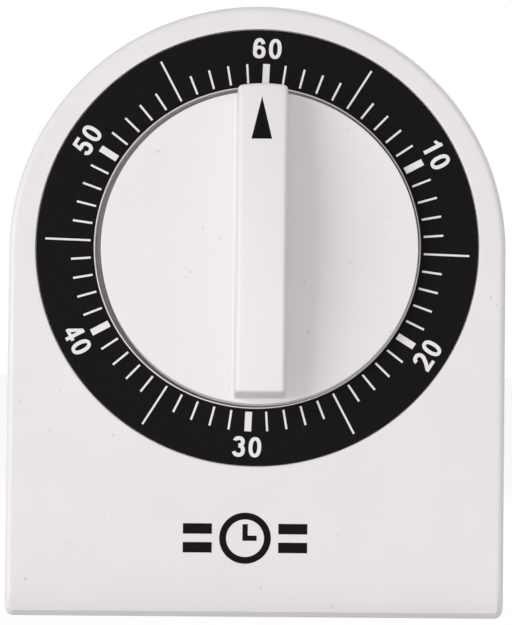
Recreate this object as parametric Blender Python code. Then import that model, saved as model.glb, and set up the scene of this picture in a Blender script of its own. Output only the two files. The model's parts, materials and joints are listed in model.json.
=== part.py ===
"""Lab timer: a sixty-minute spring-wound timer with a bell.

World frame: x to the right as seen from the front, y to the back, z up, table at z = 0.
Dial frame: the world frame leant back by LEAN about x and set on the middle of the dial, so
that its x and z lie in the sloping front face and its y runs into the body, along the arbors.
Lengths are millimetres; MM turns them into Blender's metres where a mesh or place is made.
"""
import math

import bmesh
import bpy
from mathutils import Matrix, Vector

MM = 0.001

# Housing
WIDTH = 94.4
LEAN = math.radians(9.5)          # the front face leans back by this much
DIAL_HEIGHT = 70.1                # middle of the dial above the table
ARCH_DROP = 0.6                   # the arch's centre lies this far below the dial's, along the face
CORNER_RADIUS = 1.8
EDGE_RADIUS = 1.15                # rounding of the front edge
WALL = 2.0
GAP = 0.3                         # clearance between neighbouring pieces
TOP_DEPTH = 22.0                  # front face to back face at the top of the arch
COVER = 2.4                       # rear cover's thickness
RIM_DEPTH = 3.0                   # how far the cover's locating rim reaches into the housing
RIM_WALL = 1.3

# Dial and knob well
ROUND = 56                        # sides of the large round forms
DIAL_OUTER = 42.05
DIAL_INNER = 31.35
DIAL_THICK = 0.5
LIP_OUTER = 31.2
DIAL_FIT = 0.2                    # clearance round the dial ring's outer edge
WELL_RADIUS = 31.0                # its edge is a thin lip inside the dial ring
WELL_FLOOR = 4.5                  # depth of the floor's front side
WELL_BACK = 6.5
FLOOR_HOLE = 2.9
SEAT_DEPTH = DIAL_THICK + GAP     # the dial ring's seat in the front face
CUP_MOUTH = 32.0                  # opening cut in the front wall for the well's cup
CUP_OUTER = 33.4
STOP_RADIUS = 24.0                # the stop post stands on this circle, in the knob's hollow
STOP_POST = 0.8
STOP_TURN = math.radians(-60)     # where the stop post stands, anticlockwise from +x
KNOB_TRAVEL = math.radians(352)

# Knob
KNOB_ASIDE = 0.5                  # the knob's axis lies this far right of the dial's middle
KNOB_DROP = 0.4                   # and this far below it
KNOB_RADIUS = 30.1
KNOB_FACE = -2.5                  # the disc's face stands proud of the front face
KNOB_SKIRT = 3.7
KNOB_WALL = 2.0
BAR_BASE = 4.75                   # half width of the grip bar where it meets the disc
BAR_DRAFT = 0.03                  # how much that half width loses per unit of height
BAR_LOW_END = -29.2
BAR_END_RISE = 8.6                # the bar's height over the disc at its ends and in the middle
BAR_MID_RISE = 12.3
HUB_RADIUS = 3.4
HUB_BACK = 3.4

# Movement: depths of its layers behind the front face
FRONT_PLATE = (7.5, 8.5)
CLIP_LAYER = (0.6, 2.8)
PALLET_PINS = (9.2, 10.5)
REAR_PLATE = (18.6, 19.6)
CAM_LAYER = (9.1, 9.8)
ESCAPE_LAYER = (9.6, 10.3)
PALLET_LAYER = (10.8, 11.4)
ESCAPE_PINION = (11.5, 12.8)
THIRD_LAYER = (11.8, 12.5)
STRIKE_LAYER = (12.0, 12.8)       # the hammer's arm lies in it too
HEAD_LAYER = (11.2, 15.0)
SPRING_LAYER = (10.4, 13.4)
RATCHET_LAYER = (13.8, 14.6)
MAIN_LAYER = (15.0, 16.0)
MAIN_PINION = (14.6, 16.4)
THIRD_PINION = (16.5, 17.8)
SECOND_LAYER = (16.8, 17.5)
CLICK_AT = (8.4, -0.4)            # the click's rivet, from the knob's axis
CAM_RADIUS = 8.4
TRIP_STUD = 0.9
NOTCH_DEPTH = 2.0
NOTCH_TURN = 175.0                # degrees from +x: the cam's notch faces the trip lever's tip
PLATE_HALF = 21.5
PLATE_LOW = -28.5
PLATE_TOP = 26.5
MOVEMENT_SCREW_X = 25.0
MOVEMENT_SCREW_Z = 2.0
PILLAR_X = 19.0
PILLAR_LOW = -26.0
PILLAR_TOP = 24.0
ARBOR = 1.0                       # radius of the small arbors, and of their pivots
PIVOT = 0.55
PIVOT_END = 0.2                   # how far a pivot stands out of its plate
MAIN_ARBOR = 1.5
MAIN_ARBOR_BACK = 21.0
MOUNTING_EAR = 3.2                # the plate's ears reach this far past their screws
PLATE_CUT = 4.0                   # cut corners of the plates

# Wheels: teeth and module (pitch diameter over teeth)
WHEEL_TOOTH = (0.75, 1.1, 0.42, 2)    # addendum and dedendum in modules, tooth over pitch, flank points
LEAF_TOOTH = (0.8, 1.05, 0.36, 3)
MAIN_TEETH = 60
SECOND_LEAVES = 10
MAIN_MODULE = 0.5
SECOND_TEETH = 48
THIRD_LEAVES = 8
SECOND_MODULE = 0.4
THIRD_TEETH = 48
ESCAPE_LEAVES = 8
THIRD_MODULE = 0.35
ESCAPE_TEETH = 20
ESCAPE_RADIUS = 6.0
PALLET_DISTANCE = 8.2
PALLET_TURN = math.radians(190)   # from the escape arbor towards the pallet's
PALLET_PIN = 0.35
PALLET_SPREAD = math.radians(35)  # half the angle between the pins
PALLET_PIN_RADIUS = 6.85          # the pins' distance from the escape arbor, clear of its teeth
ESCAPE_TOOTH = 1.2                # depth of the escape wheel's teeth
STRIKE_TEETH = 16
STRIKE_RADIUS = 5.5
STRIKE_TOOTH = 1.3
RATCHET_TEETH = 20
RATCHET_RADIUS = 6.2
RATCHET_TOOTH = 0.9
SPOKE_HALF = 0.28                 # half the angle between two windows of a wheel, in radians

# Bell and hammer
BELL_RADIUS = 16.0
BELL_FRONT = 9.3
BELL_RIM = 16.2                   # depth of its open edge
BELL_METAL = 0.9
BELL_BOSS = 3.2
BELL_AT = (2.0, -48.5)            # from the middle of the dial
HAMMER_AT = (-11.0, -23.5)
HAMMER_HEAD = 1.6
HAMMER_GAP = 1.0                  # head to bell at rest
HAMMER_TURN = math.radians(152)   # from the bell's middle towards the head
ARM_HALF = 0.8                    # half width of the hammer's arm

# Rear cover's screws: places across the housing
SCREW_X = (38.5, 24.0)
SCREW_Z = (9.5, 100.0)
SCREW_BOSS = 3.4
SCREW_SHANK = 1.2
SCREW_HEAD = 2.6
SCREW_SINK = 1.5                  # depth of the counterbores
SCREW_LENGTH = 11.0
SLOT_COUNT = 5
SLOT_PITCH = 5.0
SLOT_HALF = (13.0, 1.0)
SLOTS_Z = 15.0


def along(distance, turn):
    """The point at this distance and angle from the origin, in the face's x and z."""
    return distance * math.cos(turn), distance * math.sin(turn)


def moved(point, offset):
    return point[0] + offset[0], point[1] + offset[1]


def pitch_distance(teeth, leaves, module):
    return (teeth + leaves) * module / 2


# Arbor places from the knob's axis, each a mesh distance from the one before it
SECOND_AT = along(pitch_distance(MAIN_TEETH, SECOND_LEAVES, MAIN_MODULE), math.radians(40))
THIRD_AT = moved(SECOND_AT,
                 along(pitch_distance(SECOND_TEETH, THIRD_LEAVES, SECOND_MODULE), math.radians(130)))
ESCAPE_AT = moved(THIRD_AT,
                  along(pitch_distance(THIRD_TEETH, ESCAPE_LEAVES, THIRD_MODULE), math.radians(180)))
STRIKE_AT = along(pitch_distance(MAIN_TEETH, SECOND_LEAVES, MAIN_MODULE), math.radians(-125))
PALLET_AT = moved(ESCAPE_AT, along(PALLET_DISTANCE, PALLET_TURN))
TRIP_AT = (-12.2, -9.0)


def bar_rise(z):
    """Height of the grip bar over the disc: a shallow arch, highest over the axis."""
    return BAR_END_RISE + (BAR_MID_RISE - BAR_END_RISE) * (1 - (z / KNOB_RADIUS) ** 2)


def bar_reach(z):
    """How far in front of the dial's middle the bar's crest at z lies, along the world's y."""
    return (bar_rise(z) - KNOB_FACE) * math.cos(LEAN) - z * math.sin(LEAN)


BAR_STATIONS = 12                 # spans along the bar's crest
BAR_ZS = [BAR_LOW_END + (KNOB_RADIUS - BAR_LOW_END) * i / BAR_STATIONS for i in range(BAR_STATIONS + 1)]
FRONT_REACH = max(bar_reach(z) for z in BAR_ZS)
ARCH_TOP = (WIDTH / 2 - ARCH_DROP) * math.cos(LEAN)
BACK_REACH = TOP_DEPTH + ARCH_TOP * math.tan(LEAN)
DIAL_Y = (FRONT_REACH - BACK_REACH) / 2    # puts the middle of the whole depth on y = 0
BACK_Y = DIAL_Y + BACK_REACH
ARCH_Z = DIAL_HEIGHT - ARCH_DROP * math.cos(LEAN)
HOUSING_BACK = BACK_Y - COVER - GAP


def face_y(z):
    """World y of the sloping front face at height z."""
    return DIAL_Y + (z - DIAL_HEIGHT) * math.tan(LEAN)


# ---------------------------------------------------------------- scene helpers

def clear_scene():
    for obj in list(bpy.data.objects):
        bpy.data.objects.remove(obj, do_unlink=True)


def material(name, colour, roughness, metallic=0.0):
    mat = bpy.data.materials.new(name)
    mat.use_nodes = True
    shader = mat.node_tree.nodes["Principled BSDF"]
    shader.inputs["Base Color"].default_value = (*colour, 1.0)
    shader.inputs["Roughness"].default_value = roughness
    shader.inputs["Metallic"].default_value = metallic
    return mat


def empty(name, parent=None, place=(0, 0, 0), lean=0.0):
    obj = bpy.data.objects.new(name, None)
    bpy.context.collection.objects.link(obj)
    obj.parent = parent
    obj.location = Vector(place) * MM
    obj.rotation_euler = (-lean, 0, 0)
    return obj


def add(name, bm, mat, parent=None, place=(0, 0), smooth=False):
    """Turn a bmesh in millimetres into a named object at (x, z) of its parent's frame."""
    bmesh.ops.scale(bm, vec=(MM, MM, MM), verts=bm.verts)
    bmesh.ops.recalc_face_normals(bm, faces=bm.faces)
    mesh = bpy.data.meshes.new(name)
    bm.to_mesh(mesh)
    bm.free()
    if smooth:
        mesh.shade_smooth()
        mesh.set_sharp_from_angle(angle=math.radians(35))
    mesh.materials.append(mat)
    obj = bpy.data.objects.new(name, mesh)
    bpy.context.collection.objects.link(obj)
    obj.parent = parent
    obj.location = (place[0] * MM, 0, place[1] * MM)
    return obj


def combine(obj, tool, operation):
    """Join or cut obj with a tool object, which is then only a guide.

    Triangles between the steps keep every face truly flat for the next one.
    """
    if obj.modifiers:
        obj.modifiers.new("flat_" + tool.name, 'TRIANGULATE')
    mod = obj.modifiers.new(tool.name, 'BOOLEAN')
    mod.operation = operation
    mod.solver = 'EXACT'
    mod.object = tool
    tool.hide_render = True
    tool.display_type = 'WIRE'


# ---------------------------------------------------------------- shape helpers

def circle(radius, count, centre=(0, 0), start=0.0):
    turns = [start + 2 * math.pi * i / count for i in range(count)]
    return [(centre[0] + radius * math.cos(a), centre[1] + radius * math.sin(a)) for a in turns]


def slab(loops, y0, y1):
    """A flat plate from y0 to y1: the first loop is its outline, the others are holes."""
    bm = bmesh.new()
    edges = []
    for loop in loops:
        verts = [bm.verts.new((x, y0, z)) for x, z in loop]
        edges += [bm.edges.new((verts[i - 1], verts[i])) for i in range(len(verts))]
    bmesh.ops.triangle_fill(bm, use_beauty=True, edges=edges, normal=(0, -1, 0))
    grown = bmesh.ops.extrude_face_region(bm, geom=bm.faces[:])
    tops = [g for g in grown["geom"] if isinstance(g, bmesh.types.BMVert)]
    bmesh.ops.translate(bm, vec=(0, y1 - y0, 0), verts=tops)
    return bm


def turned(profile, count):
    """A round solid about the y axis from a closed (radius, y) profile.

    A profile that starts and ends on the axis gets flat round ends.
    """
    bm = bmesh.new()
    solid = profile[0][0] == 0
    rings = [[bm.verts.new((x, y, z)) for x, z in circle(radius, count)] for radius, y in profile if radius]
    followers = rings[1:] if solid else rings[1:] + rings[:1]
    for one, two in zip(rings, followers):
        for i in range(count):
            bm.faces.new((one[i - 1], one[i], two[i], two[i - 1]))
    if solid:
        bm.faces.new(rings[0])
        bm.faces.new(rings[-1])
    return bm


def rod(radius, y0, y1, count=16):
    return turned([(0, y0), (radius, y0), (radius, y1), (0, y1)], count)


def tube(outer, inner, y0, y1, count=24):
    return turned([(inner, y0), (outer, y0), (outer, y1), (inner, y1)], count)


def merged(shapes):
    """One bmesh that holds each (bmesh, offset) pair as a separate body."""
    whole = bmesh.new()
    for shape, offset in shapes:
        bmesh.ops.translate(shape, vec=offset, verts=shape.verts)
        mesh = bpy.data.meshes.new("part")
        shape.to_mesh(mesh)
        shape.free()
        whole.from_mesh(mesh)
        bpy.data.meshes.remove(mesh)
    return whole


def loft(loops):
    """A solid skinned over loops of equal count, closed at both ends."""
    bm = bmesh.new()
    rings = [[bm.verts.new(p) for p in loop] for loop in loops]
    for one, two in zip(rings, rings[1:]):
        for i in range(len(one)):
            bm.faces.new((one[i - 1], one[i], two[i], two[i - 1]))
    bm.faces.new(rings[0])
    bm.faces.new(rings[-1])
    return bm


def box(low, high):
    bm = bmesh.new()
    bmesh.ops.create_cube(bm, size=1.0)
    size = [h - l for l, h in zip(low, high)]
    middle = [(l + h) / 2 for l, h in zip(low, high)]
    bmesh.ops.scale(bm, vec=size, verts=bm.verts)
    bmesh.ops.translate(bm, vec=middle, verts=bm.verts)
    return bm


# ---------------------------------------------------------------- housing

ARCH_STEPS = 28
CORNER_STEPS = 3


def outline(inset):
    """The body's arch, seen along y, moved inwards by inset: (x, z) anticlockwise."""
    half = WIDTH / 2 - inset
    corner = max(CORNER_RADIUS - inset, 0.4)
    points = []
    for i in range(ARCH_STEPS + 1):
        turn = math.pi * i / ARCH_STEPS
        points.append((half * math.cos(turn), ARCH_Z + half * math.cos(LEAN) * math.sin(turn)))
    for side, first in ((-1, math.pi), (1, 1.5 * math.pi)):
        for i in range(CORNER_STEPS + 1):
            turn = first + 0.5 * math.pi * i / CORNER_STEPS
            points.append((side * (half - corner) + corner * math.cos(turn),
                           inset + corner + corner * math.sin(turn)))
    return points


def front_loop(inset, depth):
    return [(x, face_y(z) + depth, z) for x, z in outline(inset)]


def back_loop(inset, y):
    return [(x, y, z) for x, z in outline(inset)]


def rounded_shell():
    """The housing's outer form: a rounded front edge, then straight walls to the back."""
    loops = []
    for turn in (0, 45, 90):
        a = math.radians(turn)
        loops.append(front_loop(EDGE_RADIUS * (1 - math.sin(a)), EDGE_RADIUS * (1 - math.cos(a))))
    return loft(loops + [back_loop(0, HOUSING_BACK)])


def screw_places():
    return [(side * x, z) for x, z in zip(SCREW_X, SCREW_Z) for side in (-1, 1)]


def front_housing(dial, axis, plastic):
    shell = add("front_housing", rounded_shell(), plastic)
    hollow = loft([front_loop(WALL, WALL), back_loop(WALL, BACK_Y + 5)])
    combine(shell, add("cut_hollow", hollow, plastic), 'DIFFERENCE')

    seat = turned([(0, -5), (DIAL_OUTER + DIAL_FIT, -5), (DIAL_OUTER + DIAL_FIT, SEAT_DEPTH),
                   (CUP_MOUTH, SEAT_DEPTH), (CUP_MOUTH, 5), (0, 5)], ROUND)
    combine(shell, add("cut_dial_seat", seat, plastic, dial), 'DIFFERENCE')
    cup = turned([(FLOOR_HOLE, WELL_FLOOR), (WELL_RADIUS, WELL_FLOOR), (WELL_RADIUS, 0), (LIP_OUTER, 0),
                  (LIP_OUTER, SEAT_DEPTH + 0.2), (CUP_OUTER, SEAT_DEPTH + 0.2), (CUP_OUTER, WELL_BACK),
                  (FLOOR_HOLE, WELL_BACK)], ROUND)
    combine(shell, add("join_cup", cup, plastic, dial), 'UNION')
    bell_boss = tube(BELL_BOSS, SCREW_SHANK + GAP, 1.0, BELL_FRONT - GAP, 20)
    combine(shell, add("join_bell_boss", bell_boss, plastic, dial, BELL_AT), 'UNION')

    bosses = merged([(tube(SCREW_BOSS, SCREW_SHANK + GAP, face_y(z) + WALL - 0.6, HOUSING_BACK - GAP, 16),
                      (x, 0, z)) for x, z in screw_places()])
    combine(shell, add("join_bosses", bosses, plastic), 'UNION')
    stop_x, stop_z = along(STOP_RADIUS, STOP_TURN)
    post = rod(STOP_POST, 1.6, WELL_FLOOR + 0.5)
    combine(shell, add("join_stop_post", post, plastic, axis, (stop_x, stop_z)), 'UNION')
    pilots = merged([(rod(SCREW_SHANK + GAP, WELL_FLOOR + 0.6, 12), (x, 0, MOVEMENT_SCREW_Z))
                     for x in (-MOVEMENT_SCREW_X, MOVEMENT_SCREW_X)])
    combine(shell, add("cut_pilots", pilots, plastic, axis), 'DIFFERENCE')


def stadium(half_x, half_z, centre):
    """A slot with round ends, lying along x."""
    points = []
    for side, first in ((1, -0.5 * math.pi), (-1, 0.5 * math.pi)):
        for i in range(5):
            turn = first + math.pi * i / 4
            points.append((centre[0] + side * (half_x - half_z) + half_z * math.cos(turn),
                           centre[1] + half_z * math.sin(turn)))
    return points


def rear_cover(plastic):
    holes = [circle(SCREW_SHANK + 0.4, 16, place) for place in screw_places()]
    slots = [stadium(*SLOT_HALF, (0, SLOTS_Z + SLOT_PITCH * i)) for i in range(SLOT_COUNT)]
    plate = slab([outline(0)] + holes + slots, BACK_Y - COVER, BACK_Y)
    cover = add("rear_cover", plate, plastic)
    rim = slab([outline(WALL + GAP), outline(WALL + GAP + RIM_WALL)],
               BACK_Y - COVER - RIM_DEPTH, BACK_Y - COVER + 0.4)
    combine(cover, add("join_rim", rim, plastic), 'UNION')
    sinks = merged([(rod(SCREW_HEAD + GAP, BACK_Y - SCREW_SINK, BACK_Y + 1, 20), (x, 0, z))
                    for x, z in screw_places()])
    combine(cover, add("cut_screw_sinks", sinks, plastic), 'DIFFERENCE')


def screw_shape(head_back, length, head_thick=1.2):
    """A pan-head screw whose head's outer side is at head_back, pointing towards -y."""
    neck = head_back - head_thick
    return turned([(0, head_back), (SCREW_HEAD * 0.7, head_back), (SCREW_HEAD, head_back - 0.5),
                   (SCREW_HEAD, neck), (SCREW_SHANK, neck), (SCREW_SHANK, head_back - length + 1),
                   (0.3, head_back - length), (0, head_back - length)], 12)


def cover_screws(steel):
    for i, place in enumerate(screw_places()):
        add(f"cover_screw_{i + 1}", screw_shape(BACK_Y - 0.15, SCREW_LENGTH, 1.05), steel, None, place, True)


def dial_ring(dial, black):
    ring = tube(DIAL_OUTER, DIAL_INNER, 0, DIAL_THICK, ROUND)
    add("dial_ring", ring, black, dial, smooth=True)


# ---------------------------------------------------------------- knob

def bar_shape(inset, low_end, end_radius, foot):
    """The grip bar, or with an inset the hollow in it: drafted sides and an arched crest.

    foot is the depth that it reaches back to, and its upper end is part of a cylinder.
    """
    loops = []
    for share in (-1, -0.5, 0, 0.5, 1):
        loop = []
        base_x = share * (BAR_BASE - inset)
        end = math.sqrt(end_radius ** 2 - base_x ** 2)
        zs = [low_end + (end - low_end) * i / BAR_STATIONS for i in range(BAR_STATIONS + 1)]
        for z in zs:
            rise = bar_rise(z) - inset
            x = share * (BAR_BASE - inset - BAR_DRAFT * rise)
            loop.append((x, KNOB_FACE - rise, z))
        for z in reversed(zs):
            x = share * (BAR_BASE - inset + BAR_DRAFT * (foot - KNOB_FACE))
            loop.append((x, foot, z))
        loops.append(loop)
    return loft(loops)


def knob(axis, plastic):
    inner = KNOB_RADIUS - KNOB_WALL
    under = KNOB_FACE + KNOB_WALL
    disc = turned([(0, KNOB_FACE), (KNOB_RADIUS - 0.9, KNOB_FACE), (KNOB_RADIUS - 0.27, KNOB_FACE + 0.27),
                   (KNOB_RADIUS, KNOB_FACE + 0.9), (KNOB_RADIUS, KNOB_SKIRT), (inner, KNOB_SKIRT),
                   (inner, under), (0, under)], ROUND)
    whole = add("knob", disc, plastic, axis, smooth=True)
    combine(whole, add("join_bar", bar_shape(0, BAR_LOW_END, KNOB_RADIUS, KNOB_FACE + 1), plastic, axis),
            'UNION')
    hollow = bar_shape(KNOB_WALL, BAR_LOW_END + KNOB_WALL, inner, under + 0.5)
    combine(whole, add("cut_bar_hollow", hollow, plastic, axis), 'DIFFERENCE')
    bar_roof = KNOB_FACE - BAR_MID_RISE + 1
    combine(whole, add("join_hub", rod(HUB_RADIUS, bar_roof, HUB_BACK, 24), plastic, axis), 'UNION')
    bore = rod(MAIN_ARBOR + GAP, bar_roof + KNOB_WALL, HUB_BACK + 1, 24)
    combine(whole, add("cut_bore", bore, plastic, axis), 'DIFFERENCE')
    rib = box((STOP_RADIUS - 2.5, under - 0.5, -0.6), (inner + 0.5, WELL_FLOOR - 1.2, 0.6))
    spare = 2 * math.pi - KNOB_TRAVEL
    bmesh.ops.rotate(rib, matrix=Matrix.Rotation(-(STOP_TURN - spare / 2), 3, 'Y'), verts=rib.verts)
    combine(whole, add("join_stop_rib", rib, plastic, axis), 'UNION')


def knob_clip(axis, steel):
    """A split spring collar round the knob's hub, which grips it on the arbor."""
    turns = [math.radians(20 + 320 * i / 20) for i in range(21)]
    loop = [along(HUB_RADIUS + GAP + 0.6, a) for a in turns]
    loop += [along(HUB_RADIUS + GAP, a) for a in reversed(turns)]
    add("knob_spring_clip", slab([loop], *CLIP_LAYER), steel, axis)


# ---------------------------------------------------------------- movement

def tooth_half_angle(radius, pitch_radius, teeth, share):
    """Half the angle that an involute tooth spans at a radius; share is tooth over pitch."""
    base = pitch_radius * math.cos(math.radians(20))
    at_pitch = share * math.pi / teeth + math.tan(math.radians(20)) - math.radians(20)
    pressure = math.acos(min(1.0, base / max(radius, base)))
    return at_pitch - (math.tan(pressure) - pressure)


def gear_outline(teeth, module, addendum, dedendum, share, levels, phase=0.0):
    """A gear's outline with a tooth at the angle phase, through levels radii on each flank."""
    pitch_radius = teeth * module / 2
    low = pitch_radius - dedendum * module
    high = pitch_radius + addendum * module
    radii = [low + (high - low) * i / (levels - 1) for i in range(levels)]
    loop = []
    for tooth in range(teeth):
        middle = phase + 2 * math.pi * tooth / teeth
        flank = [(r, tooth_half_angle(r, pitch_radius, teeth, share)) for r in radii]
        loop += [along(r, middle - half) for r, half in flank]
        loop += [along(r, middle + half) for r, half in reversed(flank)]
    return loop


def saw_outline(teeth, tip, depth, phase=0.0):
    """A ratchet or escape wheel's outline: each tooth has a steep side and a long back."""
    loop = []
    for tooth in range(teeth):
        start = phase + 2 * math.pi * tooth / teeth
        step = 2 * math.pi / teeth
        loop.append(along(tip - depth, start))
        loop.append(along(tip, start + 0.08 * step))
        loop.append(along(tip, start + 0.22 * step))
    return loop


def window_loops(inner, outer, count):
    """The gaps between a wheel's spokes, as closed loops."""
    loops = []
    for spoke in range(count):
        first = 2 * math.pi * spoke / count + SPOKE_HALF
        last = 2 * math.pi * (spoke + 1) / count - SPOKE_HALF
        turns = [first + (last - first) * i / 6 for i in range(7)]
        near = [along(inner, (first + last) / 2 + (a - (first + last) / 2) * 0.7) for a in turns[::3]]
        loops.append([along(outer, a) for a in turns] + list(reversed(near)))
    return loops


def mesh_phase(driver_phase, driver_teeth, teeth, direction):
    """The angle of a tooth on a follower whose gap faces the driver's tooth along direction."""
    driver_step = 2 * math.pi / driver_teeth
    off = (direction - driver_phase) / driver_step
    facing = direction + math.pi
    return facing + (0.5 + off) * 2 * math.pi / teeth


def bearing_places():
    return [SECOND_AT, THIRD_AT, ESCAPE_AT, STRIKE_AT, PALLET_AT, HAMMER_AT]


def plate_outline(ears):
    """The movement's plate: a rectangle with cut corners, and ears for the mounting screws."""
    right = [(PLATE_HALF - PLATE_CUT, PLATE_LOW), (PLATE_HALF, PLATE_LOW + PLATE_CUT)]
    if ears:
        edge = MOVEMENT_SCREW_X + MOUNTING_EAR
        right += [(PLATE_HALF, MOVEMENT_SCREW_Z - 5), (edge, MOVEMENT_SCREW_Z - 3),
                  (edge, MOVEMENT_SCREW_Z + 3), (PLATE_HALF, MOVEMENT_SCREW_Z + 5)]
    right += [(PLATE_HALF, PLATE_TOP - PLATE_CUT), (PLATE_HALF - PLATE_CUT, PLATE_TOP)]
    return right + [(-x, z) for x, z in reversed(right)]


def movement_plates(axis, steel):
    pivots = [circle(PIVOT + GAP, 12, place) for place in bearing_places()]
    centre = [circle(MAIN_ARBOR + GAP, 20)]
    screws = [circle(SCREW_SHANK + GAP, 12, (side * MOVEMENT_SCREW_X, MOVEMENT_SCREW_Z)) for side in (-1, 1)]
    front = slab([plate_outline(True)] + pivots + centre + screws, *FRONT_PLATE)
    add("movement_front_plate", front, steel, axis)
    window = [(PLATE_HALF - 13, -18), (PLATE_HALF - 4, -18), (PLATE_HALF - 4, -6), (PLATE_HALF - 13, -6)]
    rear = slab([plate_outline(False)] + pivots + centre + [window], *REAR_PLATE)
    add("movement_rear_plate", rear, steel, axis)


def pillars(axis, brass):
    places = [(side * PILLAR_X, z) for z in (PILLAR_LOW, PILLAR_TOP) for side in (-1, 1)]
    for i, place in enumerate(places):
        y0 = FRONT_PLATE[1] + GAP
        y1 = REAR_PLATE[0] - GAP
        waist = turned([(0, y0), (1.7, y0), (1.7, y0 + 1), (1.2, y0 + 1.5), (1.2, y1 - 1.5),
                        (1.7, y1 - 1), (1.7, y1), (0, y1)], 14)
        add(f"movement_pillar_{i + 1}", waist, brass, axis, place, True)


def movement_screws(axis, steel):
    for i, side in enumerate((-1, 1)):
        back = FRONT_PLATE[1] + GAP + 1.4
        place = (side * MOVEMENT_SCREW_X, MOVEMENT_SCREW_Z)
        add(f"movement_screw_{i + 1}", screw_shape(back, 4.6, 1.4), steel, axis, place, True)


def main_arbor(axis, steel):
    y0 = KNOB_FACE - BAR_MID_RISE + 1 + KNOB_WALL + GAP
    profile = [(0, y0), (MAIN_ARBOR - 0.3, y0), (MAIN_ARBOR, y0 + 0.4), (MAIN_ARBOR, MAIN_ARBOR_BACK - 0.4),
               (MAIN_ARBOR - 0.3, MAIN_ARBOR_BACK), (0, MAIN_ARBOR_BACK)]
    add("main_arbor", turned(profile, 20), steel, axis, smooth=True)


def mainspring(axis, steel):
    """A flat spiral spring from the arbor outwards."""
    turns, inner, outer, thick, steps = 5.5, 3.0, 10.6, 0.35, 16
    count = int(turns * steps)
    loops = []
    for i in range(count + 1):
        turn = 2 * math.pi * turns * i / count
        radius = inner + (outer - inner) * i / count
        near = along(radius, turn)
        far = along(radius + thick, turn)
        loops.append([(near[0], SPRING_LAYER[0], near[1]), (far[0], SPRING_LAYER[0], far[1]),
                      (far[0], SPRING_LAYER[1], far[1]), (near[0], SPRING_LAYER[1], near[1])])
    add("mainspring", loft(loops), steel, axis)


def arbor_hole(radius=ARBOR):
    return circle(radius + GAP, 12)


def main_wheel(axis, brass):
    outline_loop = gear_outline(MAIN_TEETH, MAIN_MODULE, *WHEEL_TOOTH)
    loops = [outline_loop, circle(MAIN_ARBOR + GAP, 20)] + window_loops(8.6, 12.2, 4)
    add("main_wheel", slab(loops, *MAIN_LAYER), brass, axis)


def ratchet(axis, steel, brass):
    saw = saw_outline(RATCHET_TEETH, RATCHET_RADIUS, RATCHET_TOOTH)
    wheel = slab([saw, circle(MAIN_ARBOR + GAP, 20)], *RATCHET_LAYER)
    add("ratchet_wheel", wheel, steel, axis)
    pawl = [(7.8, -1.6), (9.2, -1.3), (8.8, 1.2), (8.0, 3.0), (6.8, 4.9), (6.0, 4.6), (6.9, 3.0), (7.5, 0.6)]
    hole = circle(0.65, 8, CLICK_AT)
    add("click", slab([pawl, hole], *RATCHET_LAYER), steel, axis)
    rivet = rod(0.4, RATCHET_LAYER[0] - 0.1, MAIN_LAYER[0] - GAP, 8)
    bmesh.ops.translate(rivet, vec=(CLICK_AT[0], 0, CLICK_AT[1]), verts=rivet.verts)
    add("click_rivet", rivet, brass, axis)


def trip_cam(axis, brass):
    """The cam that lets the trip lever drop when the time is up."""
    high = [math.radians(NOTCH_TURN + 25 + (360 - 50) * i / 24) for i in range(25)]
    low = [math.radians(NOTCH_TURN + d) for d in (-20, -10, 0, 10, 20)]
    loop = [along(CAM_RADIUS, a) for a in high] + [along(CAM_RADIUS - NOTCH_DEPTH, a) for a in low]
    add("trip_cam", slab([loop, circle(MAIN_ARBOR + GAP, 20)], *CAM_LAYER), brass, axis)


def arbor_profile():
    """A small arbor between the plates, with a thin pivot through each of them."""
    y0 = FRONT_PLATE[0] - PIVOT_END
    y1 = REAR_PLATE[1] + PIVOT_END
    shoulder0 = FRONT_PLATE[1] + GAP
    shoulder1 = REAR_PLATE[0] - GAP
    return [(0, y0), (PIVOT, y0), (PIVOT, shoulder0), (ARBOR, shoulder0), (ARBOR, shoulder1),
            (PIVOT, shoulder1), (PIVOT, y1), (0, y1)]


def pinion_arbor(name, axis, place, steel, leaves, module, layer, phase):
    """A steel arbor with its pinion cut on it."""
    whole = add(name, turned(arbor_profile(), 12), steel, axis, place)
    leaf = slab([gear_outline(leaves, module, *LEAF_TOOTH, phase)], *layer)
    combine(whole, add(f"join_{name}", leaf, steel, axis, place), 'UNION')


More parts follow.
